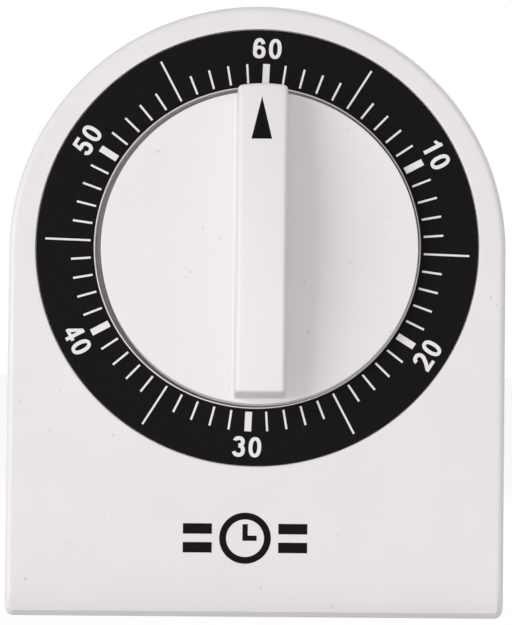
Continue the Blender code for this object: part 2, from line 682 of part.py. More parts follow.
def train(axis, brass, steel):
    """The going train: second, third and escape wheels, each with a pinion on its arbor."""
    to_second = math.atan2(SECOND_AT[1], SECOND_AT[0])
    second_phase = mesh_phase(0, MAIN_TEETH, SECOND_LEAVES, to_second)
    pinion_arbor("second_arbor", axis, SECOND_AT, steel, SECOND_LEAVES, MAIN_MODULE, MAIN_PINION,
                 second_phase)
    wheel = slab([gear_outline(SECOND_TEETH, SECOND_MODULE, *WHEEL_TOOTH), arbor_hole()]
                 + window_loops(3.4, 7.6, 4), *SECOND_LAYER)
    add("second_wheel", wheel, brass, axis, SECOND_AT)

    third_phase = mesh_phase(0, SECOND_TEETH, THIRD_LEAVES, math.radians(130))
    pinion_arbor("third_arbor", axis, THIRD_AT, steel, THIRD_LEAVES, SECOND_MODULE, THIRD_PINION,
                 third_phase)
    wheel = slab([gear_outline(THIRD_TEETH, THIRD_MODULE, *WHEEL_TOOTH), arbor_hole()]
                 + window_loops(3.2, 6.5, 4), *THIRD_LAYER)
    add("third_wheel", wheel, brass, axis, THIRD_AT)

    escape_phase = mesh_phase(0, THIRD_TEETH, ESCAPE_LEAVES, math.pi)
    pinion_arbor("escape_arbor", axis, ESCAPE_AT, steel, ESCAPE_LEAVES, THIRD_MODULE, ESCAPE_PINION,
                 escape_phase)
    wheel = slab([saw_outline(ESCAPE_TEETH, ESCAPE_RADIUS, ESCAPE_TOOTH), arbor_hole()]
                 + window_loops(2.6, 4.0, 3), *ESCAPE_LAYER)
    add("escape_wheel", wheel, brass, axis, ESCAPE_AT)

    to_strike = math.atan2(STRIKE_AT[1], STRIKE_AT[0])
    strike_phase = mesh_phase(0, MAIN_TEETH, SECOND_LEAVES, to_strike)
    pinion_arbor("strike_arbor", axis, STRIKE_AT, steel, SECOND_LEAVES, MAIN_MODULE, MAIN_PINION,
                 strike_phase)
    wheel = slab([saw_outline(STRIKE_TEETH, STRIKE_RADIUS, STRIKE_TOOTH), arbor_hole()], *STRIKE_LAYER)
    add("strike_wheel", wheel, brass, axis, STRIKE_AT)


def plain_arbor(name, axis, place, steel):
    add(name, turned(arbor_profile(), 12), steel, axis, place, True)


def pallet(axis, steel, brass):
    """The rocking lever whose two pins let the escape wheel's teeth past one at a time."""
    plain_arbor("pallet_arbor", axis, PALLET_AT, steel)
    loop = [(-4.5, -1.0), (-1.6, -1.9), (2.7, -4.4), (4.1, -3.9), (4.0, -2.7), (1.6, -1.2), (1.9, 1.2),
            (2.9, 3.9), (2.6, 5.1), (1.2, 5.1), (-1.4, 2.0), (-4.5, 1.0)]
    lever = slab([loop, arbor_hole()], *PALLET_LAYER)
    add("pallet_lever", lever, steel, axis, PALLET_AT)
    for i, side in enumerate((-1, 1)):
        from_escape = along(PALLET_PIN_RADIUS, PALLET_TURN + side * PALLET_SPREAD)
        spot = (from_escape[0] + ESCAPE_AT[0] - PALLET_AT[0], from_escape[1] + ESCAPE_AT[1] - PALLET_AT[1])
        pin = rod(PALLET_PIN, *PALLET_PINS, 8)
        bmesh.ops.translate(pin, vec=(spot[0], 0, spot[1]), verts=pin.verts)
        add(f"pallet_pin_{i + 1}", pin, brass, axis, PALLET_AT)


def hammer_head_at():
    """The head's place from the knob's axis: a strike's swing away from the bell's upper left."""
    reach = BELL_RADIUS + HAMMER_HEAD + HAMMER_GAP
    bell_middle = moved(BELL_AT, (-KNOB_ASIDE, KNOB_DROP))
    return moved(bell_middle, along(reach, HAMMER_TURN))


def hammer(axis, steel, brass):
    plain_arbor("hammer_arbor", axis, HAMMER_AT, steel)
    head = hammer_head_at()
    tip = (head[0] - HAMMER_AT[0], head[1] - HAMMER_AT[1])
    arm_end = (tip[0] * 0.86, tip[1] * 0.86)
    run = Vector(tip).normalized()
    side = Vector((-run.y, run.x)) * ARM_HALF
    start = run * 2.4
    loop = [(2.6, 0.6), (1.9, 2.2), (0.4, 2.6), (-1.6, 2.2), (-2.6, 0.6), (-2.4, -1.4),
            (start.x - side.x, start.y - side.y), (arm_end[0] - side.x, arm_end[1] - side.y),
            (arm_end[0] + side.x, arm_end[1] + side.y), (start.x + side.x, start.y + side.y), (2.4, -1.4)]
    add("hammer_arm", slab([loop, arbor_hole()], *STRIKE_LAYER), steel, axis, HAMMER_AT)
    front, back = HEAD_LAYER
    ball = turned([(0, front), (HAMMER_HEAD - 0.4, front), (HAMMER_HEAD, front + 0.4),
                   (HAMMER_HEAD, back - 0.4), (HAMMER_HEAD - 0.4, back), (0, back)], 16)
    bmesh.ops.translate(ball, vec=(tip[0], 0, tip[1]), verts=ball.verts)
    add("hammer_head", ball, brass, axis, HAMMER_AT, True)


def trip_lever(axis, steel):
    """The lever that rides on the cam and holds the hammer still until the time is up."""
    stud = rod(TRIP_STUD, CAM_LAYER[0] - GAP, CAM_LAYER[1] + 1.4, 12)
    add("trip_lever_stud", stud, steel, axis, TRIP_AT)
    loop = [(-1.9, 0.4), (-0.9, 1.8), (1.0, 6.0), (2.0, 9.6), (3.3, 9.7), (3.3, 8.3), (1.9, 1.2), (1.7, -0.8),
            (-0.6, -1.9), (-2.2, -6.0), (-2.6, -12.5), (-4.0, -12.5), (-3.8, -6.0), (-2.2, -1.2)]
    add("trip_lever", slab([loop, circle(TRIP_STUD + GAP, 12)], *CAM_LAYER), steel, axis, TRIP_AT)


def bell(dial, steel, screw_steel):
    r, front, metal, bore = BELL_RADIUS, BELL_FRONT, BELL_METAL, SCREW_SHANK + GAP
    profile = [(bore, front), (r - 2.4, front), (r - 0.7, front + 0.7), (r, front + 2.4), (r, BELL_RIM),
               (r - metal, BELL_RIM), (r - metal, front + 2.6), (r - metal - 0.5, front + 1.4),
               (r - metal - 1.8, front + metal), (bore, front + metal)]
    add("bell", turned(profile, 36), steel, dial, BELL_AT, True)
    add("bell_screw", screw_shape(12.0, 8.0, 1.5), screw_steel, dial, BELL_AT, True)


def build():
    clear_scene()
    white = material("white_plastic", (0.82, 0.81, 0.80), 0.35)
    black = material("black_dial", (0.015, 0.014, 0.013), 0.4)
    steel = material("bright_steel", (0.62, 0.62, 0.63), 0.3, 1.0)
    spring_steel = material("blued_spring_steel", (0.22, 0.24, 0.28), 0.35, 1.0)
    brass = material("brass", (0.72, 0.52, 0.22), 0.3, 1.0)

    dial = empty("dial_frame", place=(0, DIAL_Y, DIAL_HEIGHT), lean=LEAN)
    axis = empty("knob_axis", dial, (KNOB_ASIDE, 0, -KNOB_DROP))
    front_housing(dial, axis, white)
    rear_cover(white)
    cover_screws(steel)
    dial_ring(dial, black)
    knob(axis, white)
    knob_clip(axis, spring_steel)
    movement_plates(axis, steel)
    pillars(axis, brass)
    movement_screws(axis, steel)
    main_arbor(axis, steel)
    mainspring(axis, spring_steel)
    main_wheel(axis, brass)
    ratchet(axis, steel, brass)
    trip_cam(axis, brass)
    train(axis, brass, steel)
    pallet(axis, steel, brass)
    hammer(axis, steel, brass)
    trip_lever(axis, steel)
    bell(dial, steel, steel)


build()
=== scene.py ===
"""Looks of the spring-wound lab timer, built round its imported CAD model.

Lengths are millimetres and MM turns them into metres. The dial frame has its origin in the
middle of the dial on the sloping front face: u to the right, v up the face, d into the body.
"""
import json
import math

import bmesh
import bpy
from mathutils import Matrix, Vector


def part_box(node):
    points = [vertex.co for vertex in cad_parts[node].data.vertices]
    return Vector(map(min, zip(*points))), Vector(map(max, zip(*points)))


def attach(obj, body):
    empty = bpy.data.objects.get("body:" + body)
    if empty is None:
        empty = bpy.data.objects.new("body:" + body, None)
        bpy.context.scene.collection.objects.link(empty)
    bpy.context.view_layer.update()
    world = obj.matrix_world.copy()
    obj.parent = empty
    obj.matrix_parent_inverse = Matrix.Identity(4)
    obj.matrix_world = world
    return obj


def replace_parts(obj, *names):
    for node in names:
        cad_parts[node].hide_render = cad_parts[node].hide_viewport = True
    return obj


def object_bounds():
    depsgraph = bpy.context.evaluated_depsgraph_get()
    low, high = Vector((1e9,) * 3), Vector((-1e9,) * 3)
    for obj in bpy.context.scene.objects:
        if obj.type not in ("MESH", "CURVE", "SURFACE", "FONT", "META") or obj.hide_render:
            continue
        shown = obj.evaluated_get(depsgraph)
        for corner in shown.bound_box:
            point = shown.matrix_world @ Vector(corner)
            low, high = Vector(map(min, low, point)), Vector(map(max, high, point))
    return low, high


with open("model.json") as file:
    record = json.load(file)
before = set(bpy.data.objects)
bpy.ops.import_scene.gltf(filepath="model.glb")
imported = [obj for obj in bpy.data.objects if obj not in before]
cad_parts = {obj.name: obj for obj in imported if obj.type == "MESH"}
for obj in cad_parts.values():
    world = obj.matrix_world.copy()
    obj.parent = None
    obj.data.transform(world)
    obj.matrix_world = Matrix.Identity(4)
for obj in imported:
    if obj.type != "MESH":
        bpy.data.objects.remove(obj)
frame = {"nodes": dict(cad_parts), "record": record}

cad_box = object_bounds()
MM = 0.001

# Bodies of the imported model
HOUSING = "housing"
KNOB = "knob_and_main_arbor"

# Housing
WIDTH = 94.4
DIAL_HEIGHT = 70.1
ARCH_DROP = 0.6
CORNER = 1.8
EDGE = 1.15
FOOT_CHAMFER = 1.0
WALL = 2.0
COVER = 2.4
SEAM = 0.3
SEAM_ROUND = 0.35                  # rounding where the housing and its cover meet
COVER_ROUND = 0.9                  # rounding of the cover's back edge

# Sound slots and screws in the cover
SLOTS = 5
SLOT_LOWEST = 15.0
SLOT_PITCH = 5.0
SLOT_HALF = 13.0
SLOT_RADIUS = 1.0
SLOT_FLARE = 0.55
COUNTERBORE = 2.9
SCREW_HOLE = 1.6
SCREW_HEAD = 2.6
SCREW_SHANK = 1.2
SCREW_LENGTH = 10.8
CROSS_HALF = 0.28                  # half the width of the cross recess's arms
CROSS_REACH = 1.35

# Dial and knob well
DIAL_OUTER = 42.05
DIAL_INNER = 31.2
SEAT_OUTER = 42.25
SEAT_DEPTH = 0.8
LIP_OUTER = 31.1
WELL = 30.88
WELL_FLOOR = 4.5
WELL_BACK = 6.5
FLOOR_HOLE = 2.9
CUP_OUTER = 33.4

# Knob
KNOB_ASIDE = 0.5                   # the knob's axis is right of and below the dial's middle
KNOB_DROP = 0.4
KNOB_RADIUS = 30.2
KNOB_FACE = -2.5
KNOB_SKIRT = 3.7
BAR_BASE = 4.95
BAR_ASIDE = 0.28                   # the bar stands a little right of the axis and leans right
BAR_SLANT = 0.034
BAR_DRAFT = 0.03
BAR_LOW = -29.2
BAR_END_RISE = 8.48                # the crown stands above these
BAR_MID_RISE = 12.18
BAR_EDGE = 0.75
BAR_FOOT = 0.45
BAR_CROWN = 0.1
BAR_TIP = 0.6                      # rounding of the bar's ends, seen from above and from the side
KNOB_RIM = 0.16
KNOB_WALL = 2.0

# Print
PRINT_TURN = math.radians(2.15)    # the print sits this far clockwise of upright
PRINT_SKEW = (0.13, -0.17)         # and is slightly out of square, in degrees
PRINT_PROUD = 0.03
TICK_INNER = 31.75
TICK_SHORT = 35.5
TICK_LONG = 40.4
TICK_HALF = 0.2                    # half widths of the minute, five and ten minute marks
TICK_HALF_FIVE = 0.19
TICK_HALF_TEN = 0.65
NUMERAL_RADIUS = 38.5
NUMERAL_PITCH = 1.52               # each digit's middle from the numeral's middle
DIGIT_SIDE = 1.2                   # half the width and height of a digit
DIGIT_TOP = 1.95
STROKE = 0.37                      # half the width of a digit's strokes
STROKE_STEP = 0.01                 # overlapping strokes differ in height and never coincide
BADGE_AT = (-1.7, -56.0)

# Studio
FLOOR_GLOW = 1.17
GLOW_SEEN = 0.72                    # share of the floor's look that is glow, seen by the camera
GLOW_CAST = 0.46                    # and as light cast on the object
SHADE_REACH = 1.5                   # millimetres of floor round the body that glow less
SHADE_LEAST = 0.35
WORLD_FILL = 0.47
WORLD_GLOSS = 0.16
KEY_POWER = 26.0
FRONT_POWER = 10.0
BACK_POWER = 7.0
TARGET = Vector((0, 0, 0.06))

# Camera
CAMERA_DISTANCE = 2.4
CAMERA_ASIDE = -0.13
CAMERA_HEIGHT = 57.68               # height of the view's middle
CAMERA_AZIMUTH = 1.25
CAMERA_ROLL = 0.42
VIEW_HEIGHT = 118.95                # what the picture's height takes in at the dial
SENSOR = 36.0

knob_joint = next(j for j in frame["record"]["behaviour"]["joints"] if j["name"] == "knob_turn")
INTO = Vector(knob_joint["axis"]).normalized()
ACROSS = Vector((1, 0, 0))
UP = ACROSS.cross(INTO)
KNOB_AT = Vector(knob_joint["pos_m"])
DIAL_AT = KNOB_AT - (ACROSS * KNOB_ASIDE - UP * KNOB_DROP) * MM
LEAN = math.asin(-INTO.z)
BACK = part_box("rear_cover")[1][1] / MM


def from_dial(u, v, d):
    return DIAL_AT + (ACROSS * u + UP * v + INTO * d) * MM


def from_knob(u, v, d):
    return KNOB_AT + (ACROSS * u + UP * v + INTO * d) * MM


# ---------------------------------------------------------------- mesh helpers

def make(name, bm, mat, body, sharp=35.0):
    """Finish a bmesh in metres as a smooth-shaded piece that rides on a body."""
    bmesh.ops.recalc_face_normals(bm, faces=bm.faces)
    mesh = bpy.data.meshes.new(name)
    bm.to_mesh(mesh)
    bm.free()
    mesh.shade_smooth()
    mesh.set_sharp_from_angle(angle=math.radians(sharp))
    mesh.materials.append(mat)
    obj = bpy.data.objects.new(name, mesh)
    bpy.context.collection.objects.link(obj)
    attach(obj, body)
    return obj


def skin(loops, closed=False):
    """Quads between equal loops of points; closed joins the last loop to the first."""
    bm = bmesh.new()
    rows = [[bm.verts.new(p) for p in loop] for loop in loops]
    pairs = list(zip(rows, rows[1:]))
    if closed:
        pairs.append((rows[-1], rows[0]))
    for one, two in pairs:
        for i in range(len(one)):
            bm.faces.new((one[i - 1], one[i], two[i], two[i - 1]))
    if not closed:
        bm.faces.new(rows[0])
        bm.faces.new(rows[-1])
    return bm


def arc(centre, radius, first, last, steps):
    """Points (a, b) along an arc, angles in degrees."""
    turns = [math.radians(first + (last - first) * i / steps) for i in range(steps + 1)]
    return [(centre[0] + radius * math.cos(t), centre[1] + radius * math.sin(t)) for t in turns]


def ring_points(radius, d, angles, place=from_dial):
    return [place(radius * math.cos(a), radius * math.sin(a), d) for a in angles]


def even_angles(count):
    return [2 * math.pi * i / count for i in range(count)]


def lathe(profile, count, place):
    return skin([ring_points(r, d, even_angles(count), place) for r, d in profile])


def joined(parts):
    """One bmesh holding several."""
    whole = bmesh.new()
    for part in parts:
        mesh = bpy.data.meshes.new("part")
        part.to_mesh(mesh)
        part.free()
        whole.from_mesh(mesh)
        bpy.data.meshes.remove(mesh)
    return whole


def flat_shape(loops, low, high, place=from_dial):
    """A thin solid on the face between depths low and high: an outline and its holes."""
    bm = bmesh.new()
    edges = []
    for loop in loops:
        verts = [bm.verts.new((u, v, 0)) for u, v in loop]
        edges += [bm.edges.new((verts[i - 1], verts[i])) for i in range(len(verts))]
    bmesh.ops.triangle_fill(bm, use_beauty=True, edges=edges, normal=(0, 0, 1))
    grown = bmesh.ops.extrude_face_region(bm, geom=bm.faces[:])
    tops = [g for g in grown["geom"] if isinstance(g, bmesh.types.BMVert)]
    top_set = set(tops)
    for vert in bm.verts:
        vert.co = place(vert.co.x, vert.co.y, high if vert in top_set else low)
    return bm


def carve(obj, cutters):
    """Cut a piece with other meshes, for good, and keep its smooth shading."""
    for cutter in cutters:
        bmesh.ops.recalc_face_normals(cutter, faces=cutter.faces)
        mesh = bpy.data.meshes.new("cutter")
        cutter.to_mesh(mesh)
        cutter.free()
        tool = bpy.data.objects.new("cutter", mesh)
        bpy.context.collection.objects.link(tool)
        flat = obj.modifiers.new("flat", 'TRIANGULATE')
        mod = obj.modifiers.new("cut", 'BOOLEAN')
        mod.operation = 'DIFFERENCE'
        mod.solver = 'EXACT'
        mod.object = tool
        bpy.context.view_layer.update()
        graph = bpy.context.evaluated_depsgraph_get()
        carved = bpy.data.meshes.new_from_object(obj.evaluated_get(graph))
        obj.modifiers.remove(mod)
        obj.modifiers.remove(flat)
        obj.data = carved
        bpy.data.objects.remove(tool, do_unlink=True)
    obj.data.shade_smooth()
    obj.data.set_sharp_from_angle(angle=math.radians(35))


# ---------------------------------------------------------------- materials

def new_material(name):
    mat = bpy.data.materials.new(name)
    mat.use_nodes = True
    nodes = mat.node_tree.nodes
    return mat, nodes, mat.node_tree.links, nodes["Principled BSDF"]


def noise(nodes, links, scale, detail, rough=0.5):
    """Noise in object space, in cycles per metre."""
    place = nodes.new("ShaderNodeTexCoord")
    tex = nodes.new("ShaderNodeTexNoise")
    tex.inputs["Scale"].default_value = scale
    tex.inputs["Detail"].default_value = detail
    tex.inputs["Roughness"].default_value = rough
    links.new(place.outputs["Object"], tex.inputs["Vector"])
    return tex.outputs["Fac"]


def ramp(nodes, links, fac, low, high, at=(0.3, 0.7)):
    """Colours or grey values between two ends of a texture's range."""
    node = nodes.new("ShaderNodeValToRGB")
    node.color_ramp.elements[0].position = at[0]
    node.color_ramp.elements[1].position = at[1]
    node.color_ramp.elements[0].color = (*low, 1)
    node.color_ramp.elements[1].color = (*high, 1)
    links.new(fac, node.inputs["Fac"])
    return node.outputs["Color"]


def bump(nodes, links, height, shader, strength, distance, under=None):
    node = nodes.new("ShaderNodeBump")
    node.inputs["Strength"].default_value = strength
    node.inputs["Distance"].default_value = distance
    links.new(height, node.inputs["Height"])
    if under is not None:
        links.new(under, node.inputs["Normal"])
    links.new(node.outputs["Normal"], shader.inputs["Normal"])
    return node.outputs["Normal"]


def grey(value):
    return (value, value, value)


SPECK = (0.86, 0.85, 0.84)         # how far a speck darkens the plastic


def moulded_plastic(name, light, dark, rough=(0.3, 0.42), grain=0.25):
    """Moulded plastic: faint clouds and specks in its colour, uneven sheen, very fine grain."""
    mat, nodes, links, shader = new_material(name)
    clouds = ramp(nodes, links, noise(nodes, links, 60, 3), dark, light)
    specks = ramp(nodes, links, noise(nodes, links, 650, 1), (1, 1, 1), SPECK, (0.755, 0.80))
    tint = nodes.new("ShaderNodeMix")
    tint.data_type = 'RGBA'
    tint.blend_type = 'MULTIPLY'
    tint.inputs["Factor"].default_value = 1.0
    links.new(clouds, tint.inputs["A"])
    links.new(specks, tint.inputs["B"])
    links.new(tint.outputs["Result"], shader.inputs["Base Color"])
    sheen = noise(nodes, links, 350, 4)
    links.new(ramp(nodes, links, sheen, grey(rough[0]), grey(rough[1])), shader.inputs["Roughness"])
    waves = bump(nodes, links, noise(nodes, links, 25, 1), shader, 0.05, 0.002)
    bump(nodes, links, noise(nodes, links, 4500, 2), shader, grain, 0.00002, waves)
    shader.inputs["Specular IOR Level"].default_value = 0.4
    return mat


def ink(name, light, dark, rough, specular):
    """Printed ink: slightly uneven cover over the plastic under it."""
    mat, nodes, links, shader = new_material(name)
    cover = noise(nodes, links, 900, 5, 0.65)
    links.new(ramp(nodes, links, cover, dark, light), shader.inputs["Base Color"])
    links.new(ramp(nodes, links, cover, grey(rough - 0.06), grey(rough + 0.08)), shader.inputs["Roughness"])
    bump(nodes, links, noise(nodes, links, 3000, 3), shader, 0.2, 0.00002)
    shader.inputs["Specular IOR Level"].default_value = specular
    return mat


def metal(name, light, dark, rough, grain_scale=(1, 1, 40)):
    """Metal with a directional grain, faint tarnish and uneven polish."""
    mat, nodes, links, shader = new_material(name)
    place = nodes.new("ShaderNodeTexCoord")
    stretch = nodes.new("ShaderNodeMapping")
    stretch.inputs["Scale"].default_value = grain_scale
    tex = nodes.new("ShaderNodeTexNoise")
    tex.inputs["Scale"].default_value = 400
    tex.inputs["Detail"].default_value = 4
    links.new(place.outputs["Object"], stretch.inputs["Vector"])
    links.new(stretch.outputs["Vector"], tex.inputs["Vector"])
    tarnish = noise(nodes, links, 180, 4)
    links.new(ramp(nodes, links, tarnish, dark, light), shader.inputs["Base Color"])
    links.new(ramp(nodes, links, tex.outputs["Fac"], grey(rough - 0.08), grey(rough + 0.12)),
              shader.inputs["Roughness"])
    bump(nodes, links, tex.outputs["Fac"], shader, 0.25, 0.00003)
    shader.inputs["Metallic"].default_value = 1.0
    return mat


WHITE = moulded_plastic("white_abs", (0.80, 0.765, 0.775), (0.775, 0.74, 0.75))
KNOB_WHITE = moulded_plastic("white_abs_knob", (0.81, 0.775, 0.785), (0.79, 0.755, 0.765),
                             (0.44, 0.54), 0.18)
BLACK = ink("black_ink", (0.0095, 0.0085, 0.008), (0.0065, 0.0058, 0.0055), 0.5, 0.05)
WHITE_INK = ink("white_ink", (0.80, 0.77, 0.775), (0.76, 0.73, 0.735), 0.5, 0.3)
STEEL = metal("plated_steel", (0.66, 0.66, 0.67), (0.52, 0.52, 0.54), 0.3)
SPRING_STEEL = metal("blued_spring", (0.20, 0.23, 0.30), (0.12, 0.13, 0.17), 0.32)
BRASS = metal("stamped_brass", (0.78, 0.57, 0.25), (0.62, 0.43, 0.18), 0.3)
NICKEL = metal("nickel_plate", (0.74, 0.72, 0.68), (0.62, 0.60, 0.56), 0.2)


# ---------------------------------------------------------------- housing

def outline_angles():
    """Directions from the dial's middle, even but closer together at the lower corners."""
    angles = even_angles(240)
    drop = (DIAL_HEIGHT - CORNER) / math.cos(LEAN)
    corner = math.atan2(-drop, WIDTH / 2 - CORNER)
    for step in range(-10, 11):
        off = math.radians(step * 0.12)
        angles.append((corner + off) % (2 * math.pi))
        angles.append((math.pi - corner + off) % (2 * math.pi))
    return sorted(set(angles))


def ray_to_circle(direction, centre, radius):
    """How far along a direction from the origin the far side of a circle lies."""
    near = direction.dot(centre)
    return near + math.sqrt(max(near * near - centre.length_squared + radius * radius, 0))


def outline_point(angle, inset):
    """Where the direction meets the body's outline, moved inwards by inset, in u and v."""
    way = Vector((math.cos(angle), math.sin(angle)))
    half = WIDTH / 2 - inset
    bottom = (inset - DIAL_HEIGHT) / math.cos(LEAN)
    point = way * ray_to_circle(way, Vector((0, -ARCH_DROP)), half)
    if point.y >= -ARCH_DROP:
        return point
    corner = max(CORNER - inset, 0.3)
    reach = half / max(abs(way.x), 1e-9)
    reach = min(reach, bottom / way.y)
    point = way * reach
    if abs(point.x) > half - corner and point.y < bottom + corner:
        middle = Vector((math.copysign(half - corner, way.x), bottom + corner))
        point = way * ray_to_circle(way, middle, corner)
    return point


def on_slope(angles, inset, depth):
    """A loop of the outline on the front face's slope, moved back along y by depth."""
    loop = []
    for angle in angles:
        point = outline_point(angle, inset)
        loop.append(from_dial(point.x, point.y, 0) + Vector((0, depth * MM, 0)))
    return loop


def front_edge(angles, inset, depth, share):
    """A loop of the rounded front edge, which is a plain chamfer along the bottom."""
    rounded = on_slope(angles, inset, depth)
    cut = on_slope(angles, FOOT_CHAMFER * (1 - share), FOOT_CHAMFER * share)
    low = -DIAL_HEIGHT / math.cos(LEAN)
    loop = []
    for angle, one, two in zip(angles, rounded, cut):
        above = outline_point(angle, 0).y - low
        loop.append(one.lerp(two, min(max((2 * CORNER - above) / CORNER, 0), 1)))
    return loop


def on_plane(angles, inset, y):
    """A loop of the outline on an upright plane."""
    loop = []
    for angle in angles:
        point = outline_point(angle, inset)
        at = from_dial(point.x, point.y, 0)
        loop.append(Vector((at.x, y * MM, at.z)))
    return loop


def housing_shell():
    angles = outline_angles()
    circles = [(FLOOR_HOLE, WELL_BACK), (FLOOR_HOLE, WELL_FLOOR), (WELL - 1.2, WELL_FLOOR)]
    circles += arc((WELL - 0.8, WELL_FLOOR - 0.8), 0.8, 75, 0, 4)
    circles += [(WELL, 0.9), (WELL, 0.3)]
    circles += arc((WELL + 0.1, 0.1), 0.1, 180, 270, 3)
    circles += arc((LIP_OUTER - 0.08, 0.08), 0.08, 270, 360, 3)
    circles += [(LIP_OUTER, SEAT_DEPTH), (SEAT_OUTER, SEAT_DEPTH), (SEAT_OUTER, 0.14)]
    circles += arc((SEAT_OUTER + 0.12, 0.12), 0.12, 180, 270, 3)
    circles += [(SEAT_OUTER + 0.6, 0)]
    loops = [ring_points(r, d, angles) for r, d in circles]
    loops.append(on_slope(angles, EDGE + 0.5, 0))
    for step, (inset, depth) in enumerate(arc((EDGE, EDGE), EDGE, 270, 180, 8)):
        loops.append(front_edge(angles, inset, depth, step / 8))
    loops.append(on_slope(angles, 0, EDGE + 0.8))
    rear = BACK - COVER - SEAM
    loops.append(on_plane(angles, 0, rear - 0.9))
    for inset, forward in arc((SEAM_ROUND, SEAM_ROUND), SEAM_ROUND, 180, 270, 3):
        loops.append(on_plane(angles, inset, rear - forward))
    loops.append(on_plane(angles, WALL, rear))
    loops.append(on_slope(angles, WALL, WALL))
    inner_face = WALL * math.cos(LEAN)
    loops.append(ring_points(CUP_OUTER + 1, inner_face, angles))
    loops.append(ring_points(CUP_OUTER, inner_face + 0.5, angles))
    loops.append(ring_points(CUP_OUTER, WELL_BACK, angles))
    shell = make("housing_shell", skin(loops, closed=True), WHITE, HOUSING, 30)
    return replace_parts(shell, "front_housing")


def stadium(half_x, half_z, centre, steps=8):
    points = arc((centre[0] + half_x - half_z, centre[1]), half_z, -90, 90, steps)
    return points + arc((centre[0] - half_x + half_z, centre[1]), half_z, 90, 270, steps)


def upright(x, z, y):
    """A place on the back, for shapes that run along the world's y."""
    return Vector((x, y, z)) * MM


def rod_along_y(profile, x, z, count=40):
    loops = []
    for radius, y in profile:
        loops.append([upright(x + radius * math.cos(a), z + radius * math.sin(a), y)
                      for a in even_angles(count)])
    return skin(loops)


def screw_places():
    """Middles of the cover screws, in the world's x and z."""
    places = []
    for i in range(1, 5):
        low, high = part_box(f"cover_screw_{i}")
        places.append(((low[0] + high[0]) / 2 / MM, (low[2] + high[2]) / 2 / MM))
    return places


def back_cover():
    angles = outline_angles()
    front = BACK - COVER
    loops = []
    for inset, forward in arc((SEAM_ROUND, SEAM_ROUND), SEAM_ROUND, 270, 180, 3):
        loops.append(on_plane(angles, inset, front + forward))
    for inset, forward in arc((COVER_ROUND, COVER_ROUND), COVER_ROUND, 180, 90, 6):
        loops.append(on_plane(angles, inset, BACK - 2 * COVER_ROUND + forward))
    cover = make("back_cover", skin(loops), WHITE, HOUSING, 30)
    cutters = []
    for i in range(SLOTS):
        middle = (0, SLOT_LOWEST + SLOT_PITCH * i)
        narrow = stadium(SLOT_HALF, SLOT_RADIUS, middle)
        wide = stadium(SLOT_HALF + SLOT_FLARE, SLOT_RADIUS + SLOT_FLARE, middle)
        slot = flat_shape([narrow], front - 2, BACK + 2, upright)
        mouth = skin([[upright(x, z, BACK - 0.35) for x, z in narrow],
                      [upright(x, z, BACK + 0.2) for x, z in wide]])
        cutters += [slot, mouth]
    for x, z in screw_places():
        bore = [(COUNTERBORE, BACK - 1.5), (COUNTERBORE, BACK - 0.25), (COUNTERBORE + 0.4, BACK + 0.15)]
        cutters.append(rod_along_y(bore, x, z))
        cutters.append(rod_along_y([(SCREW_HOLE, front - 2), (SCREW_HOLE, BACK - 1)], x, z, 24))
    carve(cover, cutters)
    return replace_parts(cover, "rear_cover")


def cover_screw(index, x, z):
    """A pan-head screw with a cross recess, in its counterbore."""
    top = BACK - 0.15
    profile = [(0.9, top - SCREW_LENGTH), (SCREW_SHANK, top - SCREW_LENGTH + 1.0)]
    profile += [(SCREW_SHANK, top - 1.1), (SCREW_HEAD - 0.15, top - 1.1), (SCREW_HEAD, top - 1.0)]
    profile += [(SCREW_HEAD, top - 0.55)]
    profile += arc((SCREW_HEAD - 0.5, top - 0.55), 0.5, 0, 75, 4)
    profile += [(SCREW_SHANK, top)]
    screw = make(f"cover_screw_head_{index}", rod_along_y(profile, x, z, 36), STEEL, HOUSING)
    turn = math.radians(20 + 37 * index)
    deep, mouth = [], []
    for quarter in range(4):
        c, s = math.cos(turn + quarter * math.pi / 2), math.sin(turn + quarter * math.pi / 2)
        for a, b in ((CROSS_HALF, -CROSS_HALF), (CROSS_REACH, -CROSS_HALF), (CROSS_REACH, CROSS_HALF)):
            mouth.append(upright(x + a * c - b * s, z + a * s + b * c, top + 0.2))
            inner = max(a * 0.6, CROSS_HALF)
            deep.append(upright(x + inner * c - b * s, z + inner * s + b * c, top - 0.8))
    carve(screw, [skin([deep, mouth])])
    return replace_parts(screw, f"cover_screw_{index}")


# ---------------------------------------------------------------- dial and print

def dial_ring():
    soft = 0.08
    profile = [(DIAL_INNER, 0.5), (DIAL_INNER, soft)]
    profile += arc((DIAL_INNER + soft, soft), soft, 180, 270, 2)
    profile += [(DIAL_INNER + 0.4, 0), (DIAL_OUTER - 0.4, 0)]
    profile += arc((DIAL_OUTER - soft, soft), soft, 270, 360, 2)
    profile += [(DIAL_OUTER, 0.5)]
    loops = [ring_points(r, d, even_angles(240)) for r, d in profile]
    ring = make("dial_plate", skin(loops, closed=True), BLACK, HOUSING, 30)
    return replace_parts(ring, "dial_ring")


def turned_to(points, minute):
    """Points drawn upright at the top of the dial, carried round to a minute."""
    double = 2 * minute * math.radians(6)
    skew = PRINT_SKEW[0] * math.cos(double) + PRINT_SKEW[1] * math.sin(double)
    turn = -(minute * math.radians(6) + PRINT_TURN + math.radians(skew))
    c, s = math.cos(turn), math.sin(turn)
    return [(u * c - v * s, u * s + v * c) for u, v in points]


def ticks():
    shapes = []
    for minute in range(60):
        outer, half = TICK_SHORT, TICK_HALF
        if minute % 10 == 0:
            half = TICK_HALF_TEN
        elif minute % 5 == 0:
            outer, half = TICK_LONG, TICK_HALF_FIVE
        bar = [(-half, TICK_INNER), (half, TICK_INNER), (half, outer), (-half, outer)]
        shapes.append(flat_shape([turned_to(bar, minute)], -PRINT_PROUD, 0.05))
    return make("dial_ticks", joined(shapes), WHITE_INK, HOUSING)


